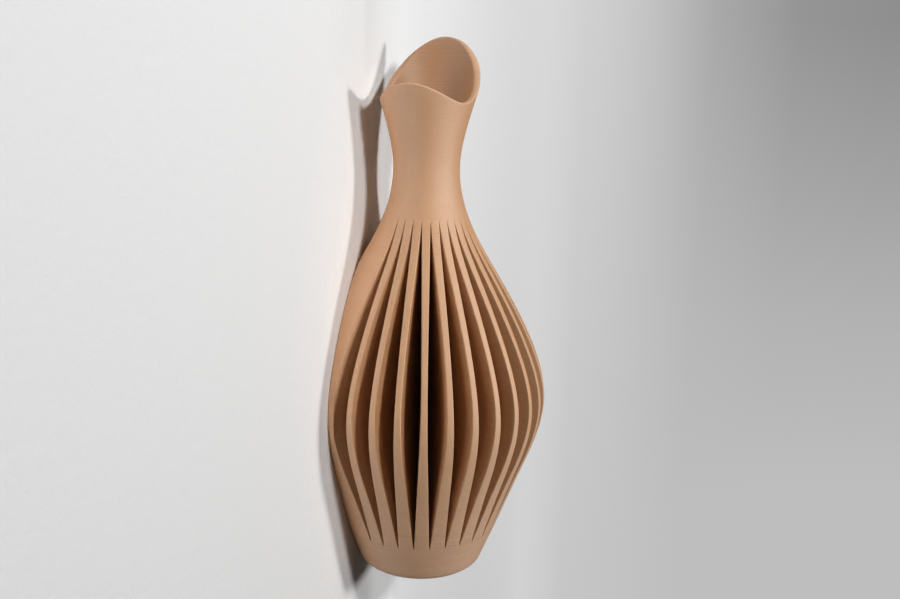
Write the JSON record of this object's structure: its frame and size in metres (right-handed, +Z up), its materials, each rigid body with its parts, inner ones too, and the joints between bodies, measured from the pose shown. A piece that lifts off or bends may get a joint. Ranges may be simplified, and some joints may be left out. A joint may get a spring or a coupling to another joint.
{
  "type": "hanging wall vase",
  "caption": "Flat-backed wall vase with a flared neck, a wavy lip and a belly of upright ribs parted by deep pointed slots, hung from a keyhole.",
  "frame": {"origin": "centre of the keyhole's round entry, on the plane of the wall", "axes": "+Z up along the vase, +Y into the wall, the ribbed front faces -Y"},
  "size_m": [0.1158, 0.0862, 0.2504],
  "materials": {
    "printed_body": "matt sand-coloured print with fine level lines"
  },
  "bodies": {
    "root": {"neck": "printed_body", "stem_tube": "printed_body", "base_cup": "printed_body", "rear_shell": "printed_body", "back_panel": "printed_body", "rib_01": "printed_body", "rib_02": "printed_body", "rib_03": "printed_body", "rib_04": "printed_body", "rib_05": "printed_body", "rib_06": "printed_body", "rib_07": "printed_body", "rib_08": "printed_body", "rib_09": "printed_body", "rib_10": "printed_body", "rib_11": "printed_body", "rib_12": "printed_body", "rib_13": "printed_body", "rib_14": "printed_body", "rib_15": "printed_body", "rib_16": "printed_body", "rib_17": "printed_body", "rib_18": "printed_body", "rib_19": "printed_body", "rib_20": "printed_body"}
  },
  "joints": []
}
